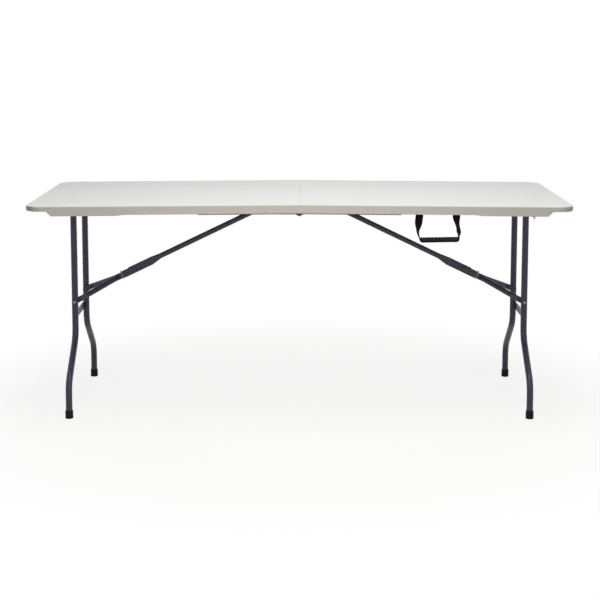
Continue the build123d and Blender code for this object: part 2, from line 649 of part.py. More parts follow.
# Fixed tabs of webbing, their clamping plates and screws
tab_bottom = STRAP_PIVOT_Z + STRAP_THICK / 2 + TAB_GAP
with BuildPart() as tabs:
    for x in STRAP_X:
        with Locations((x, strap_y, (TAB_TOP + tab_bottom) / 2)):
            Box(STRAP_WIDE, STRAP_THICK, TAB_TOP - tab_bottom)
        with Locations(Location((x, strap_y, tab_screw_z), ACROSS)):
            Cylinder(SCREW_RADIUS + HOLE_GAP, 4 * STRAP_THICK, mode=Mode.SUBTRACT)
save(half_pose * tabs.part, "handle_tabs")
plate_y = -(RAIL_OUT + STRAP_THICK + PLATE_THICK / 2)
with BuildPart() as plates:
    for x in STRAP_X:
        with Locations((x, plate_y, tab_screw_z)):
            Box(STRAP_WIDE + 2, PLATE_THICK, PLATE_HIGH)
        with Locations(Location((x, plate_y, tab_screw_z), ACROSS)):
            Cylinder(SCREW_RADIUS + HOLE_GAP, 4 * PLATE_THICK, mode=Mode.SUBTRACT)
save(half_pose * plates.part, "handle_plates")
with BuildPart() as handle_screws:
    for x in STRAP_X:
        inner = -(RAIL_OUT - 2 * RAIL_WALL)
        outer = plate_y - PLATE_THICK / 2
        with Locations(Location((x, (inner + outer) / 2, tab_screw_z), ACROSS)):
            Cylinder(SCREW_RADIUS, inner - outer)
        with Locations(Location((x, outer - HEAD_HIGH / 2, tab_screw_z), ACROSS)):
            Cylinder(SCREW_HEAD, HEAD_HIGH)
save(half_pose * handle_screws.part, "handle_screws")

# Latch hook, with a notch for the keeper's stud
hook_y = -(RAIL_OUT + HOOK_STAND + HOOK_THICK / 2)
shank = RIVET_RADIUS
with BuildPart() as hook:
    with BuildSketch(Plane.XZ.offset(-hook_y)) as hook_shape:
        with Locations((LATCH_X, LATCH_Z)):
            Circle(HOOK_WIDE * 0.65)
        with Locations((LATCH_X, (LATCH_Z + HOOK_TIP) / 2)):
            Rectangle(HOOK_WIDE, LATCH_Z - HOOK_TIP)
        with Locations((LATCH_X, LATCH_Z)):
            Circle(shank + HOLE_GAP, mode=Mode.SUBTRACT)
        with Locations((LATCH_X, -KEEPER_Z)):
            Circle(KEEPER_RADIUS * 1.15, mode=Mode.SUBTRACT)
        with Locations((LATCH_X - HOOK_WIDE / 2, -KEEPER_Z)):
            Rectangle(HOOK_WIDE, KEEPER_RADIUS * 2.3, mode=Mode.SUBTRACT)
    extrude(amount=HOOK_THICK / 2, both=True)
save(half_pose * hook.part, "latch_hook")

# Shouldered screw that the hook turns on
with BuildPart() as latch_screw:
    shoulder_end = hook_y - HOOK_THICK / 2 - 4 * HOLE_GAP
    with Locations(Location((LATCH_X, (-RAIL_OUT + shoulder_end) / 2, LATCH_Z), ACROSS)):
        Cylinder(shank, -RAIL_OUT - shoulder_end)
    with Locations(Location((LATCH_X, shoulder_end - HEAD_HIGH / 2, LATCH_Z), ACROSS)):
        Cylinder(RIVET_HEAD, HEAD_HIGH)
    with Locations(Location((LATCH_X, -RAIL_OUT + RAIL_WALL, LATCH_Z), ACROSS)):
        Cylinder(SCREW_RADIUS, 2 * RAIL_WALL)
save(half_pose * latch_screw.part, "latch_screw")

# Keeper on the left half: a plate on the rail with a stud for the hook
with BuildPart() as keeper:
    keeper_y = RAIL_OUT + KEEPER_THICK / 2
    with Locations((LATCH_X, keeper_y, (TAB_TOP + 1) / 2)):
        Box(2 * HOOK_WIDE, KEEPER_THICK, TAB_TOP - 1)
    with Locations(Location((LATCH_X, RAIL_OUT + HOOK_STAND, KEEPER_Z), ACROSS)):
        Cylinder(KEEPER_RADIUS, 2 * HOOK_STAND)
save(turn["left"] * half_pose * keeper.part, "latch_keeper")
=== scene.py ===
# %% [markdown]
# # Folding table
#
# A table of two moulded half tops that fold on each other, with steel legs, braces and a webbing
# handle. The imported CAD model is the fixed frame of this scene: its pieces stay where they are and
# get finishes, and only the pieces that CAD draws too simply are made again here.
# All lengths are in metres. X runs along the table, the front faces -Y and Z is up.

# %% Load the frame
import json

import bmesh
import bpy
import numpy as np
from mathutils import Euler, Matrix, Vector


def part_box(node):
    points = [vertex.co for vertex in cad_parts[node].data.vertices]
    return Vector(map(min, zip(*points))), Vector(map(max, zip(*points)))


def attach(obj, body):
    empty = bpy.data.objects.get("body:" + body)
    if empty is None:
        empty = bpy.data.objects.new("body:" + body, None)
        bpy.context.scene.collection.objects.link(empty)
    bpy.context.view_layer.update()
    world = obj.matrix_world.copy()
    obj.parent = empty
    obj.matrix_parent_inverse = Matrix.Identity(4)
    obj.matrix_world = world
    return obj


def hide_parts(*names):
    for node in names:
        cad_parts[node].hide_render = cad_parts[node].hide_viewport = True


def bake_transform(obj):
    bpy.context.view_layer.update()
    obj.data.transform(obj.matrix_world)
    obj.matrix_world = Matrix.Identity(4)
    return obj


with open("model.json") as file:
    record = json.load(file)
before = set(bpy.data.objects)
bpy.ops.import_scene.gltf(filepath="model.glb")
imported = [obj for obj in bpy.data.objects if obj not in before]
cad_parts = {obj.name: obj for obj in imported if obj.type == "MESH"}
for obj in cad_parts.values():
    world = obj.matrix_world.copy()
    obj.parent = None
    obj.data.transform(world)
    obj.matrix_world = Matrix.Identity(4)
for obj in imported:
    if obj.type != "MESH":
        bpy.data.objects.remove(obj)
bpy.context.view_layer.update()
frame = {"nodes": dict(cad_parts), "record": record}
nodes = frame["nodes"]
print("pieces in the frame:", len(nodes))

# %% [markdown]
# ## Camera
#
# The photograph was taken from in front, a little above the top, with a long lens. A view like
# this can be found by trial, or worked out from known lengths. Here the lens, place and tilt were
# worked out from the corners of the top and the feet. The picture's centre lies well below the
# point that the lens looks at, so the lens is shifted down rather than tilted more, which keeps
# the legs upright.

# %% Camera
PICTURE_PIXELS, FOCAL_PIXELS, SHIFT_PIXELS = 600, 1389.92, -104.5
SENSOR_MM = 36.0
CAMERA_PLACE = (0.00504, -4.85616, 1.31242)
LOOK_DOWN, ROLL, YAW = 0.12076, -0.0006, 0.00085

camera_data = bpy.data.cameras.new("camera")
camera_data.sensor_width = SENSOR_MM
camera_data.lens = FOCAL_PIXELS * SENSOR_MM / PICTURE_PIXELS
camera_data.shift_y = SHIFT_PIXELS / PICTURE_PIXELS
camera = bpy.data.objects.new("camera", camera_data)
camera.location = CAMERA_PLACE
camera.rotation_euler = Euler((np.pi / 2 - LOOK_DOWN, ROLL, YAW))
bpy.context.scene.collection.objects.link(camera)
bpy.context.scene.camera = camera
bpy.context.scene.view_settings.view_transform = "Standard"
print("lens", round(camera_data.lens, 2), "mm")

# %% [markdown]
# ## Mesh helpers
#
# A surface is a grid of points: two numbers run over the rows and columns, and a formula gives the
# place of each point. Once the points are worked out as whole arrays, the faces always follow the
# same rule, so one helper makes them for every piece.

# %% Grid faces
def grid_faces(rows, columns, wrap_rows=False, wrap_columns=False):
    """Each face joins a point, the next in its row and their neighbours in the next row. A
    wrapped direction also joins its last line to its first."""
    row = np.arange(rows if wrap_rows else rows - 1)
    column = np.arange(columns if wrap_columns else columns - 1)
    row, column = np.meshgrid(row, column, indexing="ij")
    this_row, next_row = row * columns, (row + 1) % rows * columns
    beside = (column + 1) % columns
    corners = [this_row + column, this_row + beside, next_row + beside, next_row + column]
    return np.stack(corners, -1).reshape(-1, 4)


def many_grids(points, wrap_rows=False, wrap_columns=False):
    """Points of several equal grids, shaped (grids, rows, columns, 3), as one list of points and
    one of faces: each grid's faces are the first one's, moved on by a grid's count of points."""
    count, rows, columns = points.shape[:3]
    faces = grid_faces(rows, columns, wrap_rows, wrap_columns)
    steps = np.arange(count)[:, None, None] * rows * columns
    return points.reshape(-1, 3), (faces[None] + steps).reshape(-1, 4)


# %% Pieces
MERGE_WITHIN = 1e-6


def make_piece(name, points, faces, material, slot, uv=None, sharp_angle=40):
    """A mesh object from points and faces. Doubled points at poles and seams are merged, faces
    are turned outwards, and edges sharper than the angle stay crisp."""
    mesh = bpy.data.meshes.new(name)
    mesh.from_pydata(points.tolist(), [], faces.tolist())
    if uv is not None:
        layer = mesh.uv_layers.new(name="UVMap")
        layer.data.foreach_set("uv", uv[faces.ravel()].astype(np.float32).ravel())
    work = bmesh.new()
    work.from_mesh(mesh)
    bmesh.ops.remove_doubles(work, verts=work.verts, dist=MERGE_WITHIN)
    bmesh.ops.recalc_face_normals(work, faces=work.faces)
    work.to_mesh(mesh)
    work.free()
    mesh.shade_smooth()
    mesh.set_sharp_from_angle(angle=np.radians(sharp_angle))
    mesh.materials.append(material)
    piece = bpy.data.objects.new(name, mesh)
    bpy.context.scene.collection.objects.link(piece)
    print(name, len(mesh.vertices), "points")
    return piece


# %% [markdown]
# ## Shared effects for the finishes
#
# Moulded plastic, powder coat and plated steel all have a fine grain and faint marks from use.
# The grain is noise at a small scale, and the marks are stretched noise that passes a threshold
# only here and there. Both are built once as node groups and placed in each finish with its own
# numbers.

# %% Node helpers
def new_group(name, inputs, outputs):
    """An empty shader group with float inputs and outputs, and its input and output nodes."""
    group = bpy.data.node_groups.new(name, "ShaderNodeTree")
    for label, value in inputs:
        kind = "NodeSocketVector" if label == "Place" else "NodeSocketFloat"
        socket = group.interface.new_socket(label, in_out="INPUT", socket_type=kind)
        if value is not None:
            socket.default_value = value
    for label in outputs:
        group.interface.new_socket(label, in_out="OUTPUT", socket_type="NodeSocketFloat")
    return group, group.nodes.new("NodeGroupInput"), group.nodes.new("NodeGroupOutput")


def add_node(tree, kind, settings=None, **values):
    """A node with settings on the node itself and values on its named inputs."""
    node = tree.nodes.new(kind)
    for label, value in (settings or {}).items():
        setattr(node, label, value)
    for label, value in values.items():
        node.inputs[label.replace("_", " ")].default_value = value
    return node


def math_node(tree, operation, first, second=None, third=None, clamp=False):
    """One sum on two or three values, each a number or another node's output."""
    node = tree.nodes.new("ShaderNodeMath")
    node.operation = operation
    node.use_clamp = clamp
    for socket, value in zip(node.inputs, (first, second, third)):
        if isinstance(value, (int, float)):
            socket.default_value = value
        elif value is not None:
            tree.links.new(value, socket)
    return node.outputs[0]


# %% Grain
grain_group, into, out = new_group("grain", [("Place", None), ("Scale", 900.0)], ["Height", "Mottle"])
fine = add_node(grain_group, "ShaderNodeTexNoise", Detail=3.0, Roughness=0.6)
broad = add_node(grain_group, "ShaderNodeTexNoise", Scale=7.0, Detail=4.0, Roughness=0.55)
grain_group.links.new(into.outputs["Place"], fine.inputs["Vector"])
grain_group.links.new(into.outputs["Scale"], fine.inputs["Scale"])
grain_group.links.new(into.outputs["Place"], broad.inputs["Vector"])
grain_group.links.new(fine.outputs["Fac"], out.inputs["Height"])
grain_group.links.new(broad.outputs["Fac"], out.inputs["Mottle"])
print("grain nodes:", len(grain_group.nodes))

# %% Marks
RUB_LEVEL, RUB_CONTRAST = 0.62, 9.0

marks_group, into, out = new_group("marks", [("Place", None), ("Scale", 30.0), ("Amount", 0.5)], ["Marks"])
stretch = add_node(marks_group, "ShaderNodeMapping", Scale=(0.12, 1.0, 1.0), Rotation=(0.0, 0.0, 0.35))
streak = add_node(marks_group, "ShaderNodeTexNoise", Detail=6.0, Roughness=0.65)
marks_group.links.new(into.outputs["Place"], stretch.inputs["Vector"])
marks_group.links.new(stretch.outputs["Vector"], streak.inputs["Vector"])
marks_group.links.new(into.outputs["Scale"], streak.inputs["Scale"])
over = math_node(marks_group, "SUBTRACT", streak.outputs["Fac"], RUB_LEVEL)
faint = math_node(marks_group, "MULTIPLY", over, RUB_CONTRAST, clamp=True)
weighed = math_node(marks_group, "MULTIPLY", faint, into.outputs["Amount"])
marks_group.links.new(weighed, out.inputs["Marks"])
print("marks nodes:", len(marks_group.nodes))

# %% [markdown]
# ## Hard finishes
#
# Each finish is one Principled shader. Its colour moves a little between two near tones with the
# mottle, the marks shift the colour and lift the roughness where something has rubbed, and the
# grain is a very low bump. The patterns read Object coordinates: every object sits at the origin,
# so they are the table's own metres and run on from piece to piece.

# %% Finish maker
MIX_INPUTS, MIX_RESULT = (6, 7), 2
ROUGH_SPREAD, RUB_ROUGHNESS = 0.16, 0.15


def mix_colours(tree, share, first, second):
    """From the first colour to the second as the share goes from 0 to 1. A colour is three numbers
    or another node's output. A Mix node has sockets for numbers, vectors and colours under the same
    names, so those for colours are picked by their places."""
    node = add_node(tree, "ShaderNodeMix", {"data_type": "RGBA"})
    tree.links.new(share, node.inputs["Factor"])
    for place, colour in zip(MIX_INPUTS, (first, second)):
        if isinstance(colour, tuple):
            node.inputs[place].default_value = (*colour, 1.0)
        else:
            tree.links.new(colour, node.inputs[place])
    return node.outputs[MIX_RESULT]


def hard_finish(name, dark, light, roughness, gloss, grain, mark_colour, marks, metallic=0.0):
    """A Principled material: mottled between two tones, with marks, varied roughness and a low
    grain. gloss is the specular level, and grain is (bumps per metre, height in metres)."""
    bumps, bump_height = grain
    material = bpy.data.materials.new(name)
    material.use_nodes = True
    tree = material.node_tree
    shader = tree.nodes["Principled BSDF"]
    shader.inputs["Metallic"].default_value = metallic
    shader.inputs["Specular IOR Level"].default_value = gloss

    place = tree.nodes.new("ShaderNodeTexCoord").outputs["Object"]
    speckle = add_node(tree, "ShaderNodeGroup", {"node_tree": grain_group}, Scale=bumps)
    worn = add_node(tree, "ShaderNodeGroup", {"node_tree": marks_group}, Amount=marks)
    tree.links.new(place, speckle.inputs["Place"])
    tree.links.new(place, worn.inputs["Place"])
    mottle, rubs = speckle.outputs["Mottle"], worn.outputs["Marks"]

    tone = mix_colours(tree, mottle, dark, light)
    tree.links.new(mix_colours(tree, rubs, tone, mark_colour), shader.inputs["Base Color"])
    spread = math_node(tree, "MULTIPLY_ADD", mottle, ROUGH_SPREAD, roughness - ROUGH_SPREAD / 2)
    rubbed = math_node(tree, "ADD", spread, math_node(tree, "MULTIPLY", rubs, RUB_ROUGHNESS))
    tree.links.new(rubbed, shader.inputs["Roughness"])
    bump = add_node(tree, "ShaderNodeBump", Strength=1.0, Distance=bump_height)
    tree.links.new(speckle.outputs["Height"], bump.inputs["Height"])
    tree.links.new(bump.outputs["Normal"], shader.inputs["Normal"])
    return material


# %% Top and paint
top_plastic = hard_finish(
    "top_plastic",
    dark=(0.745, 0.742, 0.715),
    light=(0.80, 0.797, 0.77),
    roughness=0.52,
    gloss=0.26,
    grain=(700.0, 0.00018),
    mark_colour=(0.83, 0.83, 0.81),
    marks=0.35,
)
powder_coat = hard_finish(
    "powder_coat",
    dark=(0.035, 0.036, 0.068),
    light=(0.050, 0.050, 0.092),
    roughness=0.42,
    gloss=0.42,
    grain=(1100.0, 0.00009),
    mark_colour=(0.10, 0.10, 0.12),
    marks=0.3,
)
print("finishes:", top_plastic.name, powder_coat.name)

# %% Bare steels
BARE_STEEL = {"gloss": 0.5, "grain": (900.0, 0.00004), "metallic": 1.0}

zinc_plate = hard_finish(
    "zinc_plate",
    dark=(0.24, 0.24, 0.27),
    light=(0.32, 0.32, 0.355),
    roughness=0.34,
    mark_colour=(0.18, 0.18, 0.19),
    marks=0.5,
    **BARE_STEEL,
)
worn_steel = hard_finish(
    "worn_steel",
    dark=(0.045, 0.045, 0.055),
    light=(0.065, 0.065, 0.078),
    roughness=0.16,
    mark_colour=(0.12, 0.12, 0.13),
    marks=0.4,
    **BARE_STEEL,
)
bright_steel = hard_finish(
    "bright_steel",
    dark=(0.17, 0.18, 0.195),
    light=(0.23, 0.24, 0.255),
    roughness=0.2,
    mark_colour=(0.12, 0.12, 0.13),
    marks=0.4,
    **BARE_STEEL,
)
print("finishes:", zinc_plate.name, worn_steel.name, bright_steel.name)

# %% Black plastics
foot_rubber = hard_finish(
    "foot_rubber",
    dark=(0.005, 0.005, 0.006),
    light=(0.009, 0.009, 0.010),
    roughness=0.66,
    gloss=0.18,
    grain=(1000.0, 0.00012),
    mark_colour=(0.03, 0.03, 0.03),
    marks=0.4,
)
black_moulding = hard_finish(
    "black_moulding",
    dark=(0.029, 0.029, 0.036),
    light=(0.040, 0.040, 0.048),
    roughness=0.5,
    gloss=0.05,
    grain=(1200.0, 0.00012),
    mark_colour=(0.06, 0.06, 0.065),
    marks=0.3,
)
print("finishes:", foot_rubber.name, black_moulding.name)

# %% [markdown]
# ## Finishes on the frame's own pieces
#
# Every CAD piece names the slot that its finish belongs to in the record, so one table from slot
# to finish dresses them all. The pieces of black plastic and of webbing are all made again further
# on, so plain black is enough for them here. The latch hook is the one exception to the table: it
# is plated like the screws, but worn dark.

# %% Dress the CAD pieces
finish_of_slot = {
    "top_plastic": top_plastic,
    "painted_steel": powder_coat,
    "zinc_steel": zinc_plate,
    "black_plastic": black_moulding,
    "webbing": black_moulding,
}
for entry in frame["record"]["subparts"]:
    mesh = nodes[entry["node"]].data
    mesh.materials.clear()
    mesh.materials.append(finish_of_slot[entry["material_slot"]])
nodes["latch_hook"].data.materials[0] = worn_steel
print("slots:", sorted(finish_of_slot))

# %% [markdown]
# ## Webbing finish
#
# The straps are black nylon webbing. Its ribs run across the band in short steps, with every
# second row shifted, so the light breaks up into a fine weave. A picture of cloth could be laid on,
# but a brick pattern has the same layout and stays sharp at any distance. The pattern has to turn
# with the twisted band, so it reads the strap's own UV map, whose units are metres.

# %% Webbing
RIB_PITCH, RIB_DEPTH = 0.0016, 0.0004
RIB_GAP = 0.14 * RIB_PITCH
RIB_ROUGHNESS, GAP_ROUGHER = 0.75, 0.1

webbing = bpy.data.materials.new("webbing")
webbing.use_nodes = True
tree = webbing.node_tree
shader = tree.nodes["Principled BSDF"]
shader.inputs["Specular IOR Level"].default_value = 0.1
shader.inputs["Sheen Weight"].default_value = 0.04
weave = add_node(
    tree,
    "ShaderNodeTexBrick",
    {"offset": 0.5, "squash": 1.0},
    Scale=1.0,
    Color1=(0.005, 0.005, 0.007, 1.0),
    Color2=(0.003, 0.003, 0.0045, 1.0),
    Mortar=(0.001, 0.001, 0.0015, 1.0),
    Mortar_Size=RIB_GAP,
    Mortar_Smooth=0.6,
    Brick_Width=2 * RIB_PITCH,
    Row_Height=RIB_PITCH,
)
tree.links.new(tree.nodes.new("ShaderNodeUVMap").outputs["UV"], weave.inputs["Vector"])
tree.links.new(weave.outputs["Color"], shader.inputs["Base Color"])
dry = math_node(tree, "MULTIPLY_ADD", weave.outputs["Fac"], GAP_ROUGHER, RIB_ROUGHNESS)
tree.links.new(dry, shader.inputs["Roughness"])
bump = add_node(tree, "ShaderNodeBump", {"invert": True}, Strength=1.0, Distance=RIB_DEPTH)
tree.links.new(weave.outputs["Fac"], bump.inputs["Height"])
tree.links.new(bump.outputs["Normal"], shader.inputs["Normal"])
print("rib pitch", RIB_PITCH)

# %% [markdown]
# ## Places on the right half
#
# Each half top leans down by half a degree from the seam. Pieces on the right half are worked out
# as if it lay flat, with the hinge axis at height zero, and one function then leans and lifts them
# into place. They could be parented to a tilted empty, but then their objects would not sit at the
# origin, as the finishes need.

# %% Half poses
HINGE_HEIGHT = 0.703
LEAN = np.radians(0.5)


def lean(points):
    """Points of the flat right half turned about the hinge by the lean and lifted to its height."""
    x, y, z = np.moveaxis(np.asarray(points, float), -1, 0)
    along = x * np.cos(LEAN) + z * np.sin(LEAN)
    up = HINGE_HEIGHT - x * np.sin(LEAN) + z * np.cos(LEAN)
    return np.stack([along, y, up], -1)


print("a metre from the hinge, the lean comes to", lean((1.0, 0.0, 0.0)).round(4))

# %% [markdown]
# ## Handle straps
#
# One loop of webbing carries the grip. At each tab it hangs flat from the rail behind the skirt,
# twists edge-on, and then runs round the end of the grip and along its underside, where the two
# ends meet. There the load cups it round the bar. A flat ribbon with a Solidify modifier would do,
# but the twist would then pinch its thickness, so a flat oval outline is carried along the path
# instead, turned and cupped as it goes.

# %% Curve helpers
def smooth_curve(knots, values, at):
    """Cubic pieces through the values at the knots: each knot's slope is that of the line between
    its two neighbours, so the curve has no corners."""
    knots, values = np.asarray(knots, float), np.asarray(values, float)
    slope = np.gradient(values, knots)
    index = np.clip(np.searchsorted(knots, at) - 1, 0, len(knots) - 2)
    width = knots[index + 1] - knots[index]
    t = np.clip((at - knots[index]) / width, 0.0, 1.0)
    start, end = values[index], values[index + 1]
    lift = (1 - t) ** 2 * t * slope[index] * width - t**2 * (1 - t) * slope[index + 1] * width
    return start + (3 * t**2 - 2 * t**3) * (end - start) + lift


def full_turn(steps):
    """Angles at equal steps round a full turn, without the last one, which is the first again."""
    return np.linspace(0, 2 * np.pi, steps, endpoint=False)


def squared(wave, power):
    """A sine or cosine with its sign kept and its size raised to a power. Below 1 the power turns
    a circle into an oval with squared shoulders."""
    return np.sign(wave) * np.abs(wave) ** power


# %% Strap shape
STRAP_Y, STRAP_THICK = -0.3548, 0.0016
BAND_ROWS, BAND_SIDES = 220, 28
EDGE_POWER, FACE_POWER, CUP_POWER = 0.35, 0.6, 2.5


def band(x, z, turn, width, cup):
    """Points and UV of a band through knots in the XZ plane. The outline's long axis starts across
    the path in that plane and turns about the path by the given angle; the outline is an oval with
    squared shoulders, and cup is how far its edges are drawn to one side. The end rows are repeated
    at no size, which closes the band."""
    reach = np.concatenate([[0.0], np.cumsum(np.hypot(np.diff(x), np.diff(z)))])
    at = np.linspace(0.0, reach[-1], BAND_ROWS)
    level = np.zeros_like(at)
    path = np.stack([smooth_curve(reach, x, at), level + STRAP_Y, smooth_curve(reach, z, at)], -1)
    ahead = np.gradient(path, axis=0)
    ahead /= np.linalg.norm(ahead, axis=1, keepdims=True)
    aside = np.stack([-ahead[:, 2], level, ahead[:, 0]], -1)
    angle = smooth_curve(reach, np.radians(turn), at)[:, None]
    long_axis = aside * np.cos(angle) + np.array((0.0, 1.0, 0.0)) * np.sin(angle)
    thin_axis = np.cross(ahead, long_axis)

    around = full_turn(BAND_SIDES)
    across = squared(np.cos(around), EDGE_POWER)
    out = squared(np.sin(around), FACE_POWER) * STRAP_THICK / 2
    wide = np.interp(at, reach, width)[:, None] / 2 * across
    thick = out + np.interp(at, reach, cup)[:, None] * np.abs(across) ** CUP_POWER
    outline = wide[:, :, None] * long_axis[:, None] + thick[:, :, None] * thin_axis[:, None]
    row = np.clip(np.arange(-1, len(at) + 1), 0, len(at) - 1)
    size = np.ones(len(row))
    size[[0, -1]] = 0.0
    points = path[row][:, None] + size[:, None, None] * outline[row]
    uv = np.stack([wide, np.broadcast_to(at[:, None], wide.shape)], -1)[row]
    return lean(points), uv


# %% Loop round the grip
GRIP_X, GRIP_Z, GRIP_TILT = 0.4592, -0.07785, np.radians(1.5)
GRIP_HALF, GRIP_CORNER, GRIP_BOTTOM = 0.0642, 0.0085, -0.0078
FLAT_X, MEET_X = 0.047, 0.0001


def on_grip(x, z):
    """Places given from the grip's middle, tilted with the grip and moved to where it hangs."""
    along = x * np.cos(GRIP_TILT) - z * np.sin(GRIP_TILT)
    up = x * np.sin(GRIP_TILT) + z * np.cos(GRIP_TILT)
    return GRIP_X + along, GRIP_Z + up


quarter = np.radians((0.0, 45.0, 90.0))
arc = GRIP_CORNER + STRAP_THICK / 2
under = GRIP_BOTTOM - STRAP_THICK / 2
loop_x = np.append(GRIP_HALF - GRIP_CORNER + arc * np.cos(quarter), (FLAT_X, MEET_X))
loop_z = np.append(GRIP_BOTTOM + GRIP_CORNER - arc * np.sin(quarter), (under, under))
print("the loop's lowest place is", loop_z.min().round(5), "from the grip's middle")

# %% Hanging lengths
INNER_TAB_X, OUTER_TAB_X = 0.392, 0.513
TAB_TOP, SWING_Z = 0.018, 0.0024

# Each knot is its x from the tab, its height and its turn in degrees.
inner_hang = (
    (0.0, TAB_TOP, 0),
    (0.0, SWING_Z, 0),
    (-0.0022, -0.022, 9),
    (-0.0028, -0.036, 38),
    (-0.0040, -0.050, 63),
    (-0.0020, -0.064, 75),
)
outer_hang = (
    (0.0, TAB_TOP, 0),
    (0.0, SWING_Z, 0),
    (0.0003, -0.010, -34),
    (0.0028, -0.024, -58),
    (0.0066, -0.039, -65),
    (0.0089, -0.053, -63),
    (0.0092, -0.064, -81),
)
straps = (("inner", INNER_TAB_X, -1, inner_hang), ("outer", OUTER_TAB_X, 1, outer_hang))
print("knots:", len(inner_hang), "and", len(outer_hang))

# %% Straps
STRAP_WIDE, LOOP_WIDE, LOOP_CUP = 0.025, 0.0198, 0.0050
FULL_WIDTH_Z, FLAT_Z, LOOP_Z = -0.060, -0.064, -0.076

for name, tab_x, end, hang in straps:
    hang_x, hang_z, hang_turn = np.array(hang).T
    under_x, under_z = on_grip(end * loop_x, loop_z)
    turn = np.append(hang_turn, np.full(len(loop_x), -90.0 * end))
    knot_z = np.append(hang_z, under_z)
    width = np.interp(knot_z, (LOOP_Z, FULL_WIDTH_Z), (LOOP_WIDE, STRAP_WIDE))
    cup = np.interp(knot_z, (LOOP_Z, FLAT_Z), (LOOP_CUP, 0.0))
    points, uv = band(np.append(tab_x + hang_x, under_x), knot_z, turn, width, cup)
    faces = grid_faces(*points.shape[:2], wrap_columns=True)
    points, uv = points.reshape(-1, 3), uv.reshape(-1, 2)
    strap = make_piece(f"strap_{name}", points, faces, webbing, "webbing", uv)
    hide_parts(f"handle_strap_{name}", "handle_tabs")
    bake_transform(strap)

# %% [markdown]
# ## Handle grip
#
# The grip is a black moulded bar with a round underside for the webbing and a row of finger marks
# along its upper front edge. It hangs a little higher on the right. It could be a box with bevels
# and cut slots. As one surface it stays smooth: a rounded outline runs along the bar, the bar's
# ends close in by arcs, and the marks push the surface in where two smooth masks overlap.

# %% Grip along its length
GRIP_LONG, GRIP_DEEP, GRIP_TOP = 2 * GRIP_HALF, 0.0192, 0.00775
NOSE, TOP_CORNER = 0.007, 0.0031
GRIP_ROWS = 421


def arc_in(radius, from_end):
    """How far a rounded end of that radius has closed in, at a distance from the bar's end."""
    rest = np.clip(radius - from_end, 0.0, radius)
    return radius - np.sqrt(radius**2 - rest**2)


share = np.linspace(0.0, 1.0, GRIP_ROWS)
ease = (1 - np.cos(np.pi * share)) / 2
bar_x = GRIP_LONG * (0.5 * ease + 0.5 * share)
from_end = np.minimum(bar_x, GRIP_LONG - bar_x)
low = GRIP_BOTTOM + arc_in(GRIP_CORNER, from_end)
high = GRIP_TOP - arc_in(TOP_CORNER, from_end)
deep = GRIP_DEEP / 2 * (1 - arc_in(NOSE, from_end) / NOSE)
closing = np.ones_like(share)
closing[[0, -1]] = 0.0
print("the grip is", (high - low).max().round(5), "high")

# %% Finger marks
GRIP_SIDES = 72
MARKS, MARK_PITCH, MARK_LONG, MARK_DEPTH, MARK_SHIFT = 7, 0.0111, 0.0050, 0.0062, -0.0020
MARK_EDGE = 0.0004
MARK_UPPER, MARK_LOWER = (1.75, 1.95), (2.70, 2.88)


def smooth_step(low, high, value):
    """0 below low, 1 above high, and an S-curve between them."""
    t = np.clip((value - low) / (high - low), 0.0, 1.0)
    return t * t * (3 - 2 * t)


around = full_turn(GRIP_SIDES)
step = (bar_x - GRIP_HALF - MARK_SHIFT) / MARK_PITCH + MARKS / 2
from_mark = np.abs(step - np.floor(step) - 0.5) * MARK_PITCH
in_row = (np.abs(step - MARKS / 2) < MARKS / 2).astype(float)
mark_along = in_row * (1 - smooth_step(MARK_LONG / 2 - MARK_EDGE, MARK_LONG / 2 + MARK_EDGE, from_mark))
mark_around = smooth_step(*MARK_UPPER, around) * (1 - smooth_step(*MARK_LOWER, around))
pressed_in = mark_along[:, None] * mark_around
print("finger marks:", MARKS)

# %% Grip
TOP_POWER = 0.72

power = np.where(np.sin(around) > 0, TOP_POWER, 1.0)
back, upward = squared(np.cos(around), power), squared(np.sin(around), power)
size = closing[:, None] * (1 - pressed_in * MARK_DEPTH / ((GRIP_TOP - GRIP_BOTTOM) / 2))
bar_z = ((low + high) / 2)[:, None] + ((high - low) / 2)[:, None] * upward * size
grip_x, grip_z = on_grip((bar_x - GRIP_HALF)[:, None], bar_z)
grip_points = np.stack([grip_x, STRAP_Y + deep[:, None] * back * size, grip_z], -1)
grip_points = lean(grip_points).reshape(-1, 3)
# The UV's second number, how far a point is pressed in, later sets the painted shade in the marks.
grip_uv = np.stack([np.broadcast_to(bar_x[:, None], size.shape), pressed_in], -1).reshape(-1, 2)
faces = grid_faces(*size.shape, wrap_columns=True)
grip = make_piece("grip", grip_points, faces, black_moulding, "black_plastic", grip_uv, sharp_angle=60)
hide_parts("handle_grip")
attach(grip, "handle")

# %% [markdown]
# The marks are darkened with painted shade, which stands in for the shade that falls into the
# recesses. It could be painted into an image, but the grip's UV map already knows the marks: its
# second number is how far a point is pressed in, so it can mix the plastic's colour towards black.

# %% Painted shade in the marks
MARK_PAINTED_SHADE = (0.004, 0.004, 0.005)

tree = black_moulding.node_tree
shader = tree.nodes["Principled BSDF"]
plain = shader.inputs["Base Color"].links[0].from_socket
parts = tree.nodes.new("ShaderNodeSeparateXYZ")
tree.links.new(tree.nodes.new("ShaderNodeUVMap").outputs["UV"], parts.inputs[0])
# Painted shade: the plastic's colour goes towards black where the grip is pressed in.
tree.links.new(mix_colours(tree, parts.outputs["Y"], plain, MARK_PAINTED_SHADE), shader.inputs["Base Color"])
print("nodes in the black moulding:", len(tree.nodes))

# %% [markdown]
# ## Rivets
#
# Rivets are turned shapes: one side view swept round an axis. Blender's Spin or Screw modifier can
# do that, and so can one formula, which also places every rivet of a set at once. The heads on the
# legs reach a little into the tube, because a tube falls away from a flat head on both sides. They
# are set after painting, so they catch the light on the dark legs. The rivets of the braces and the
# two hinge pins are worn dark, and the rivets of the hinge leaves are plated.

# %% Turned pieces
UPRIGHT_FROM = 0.9


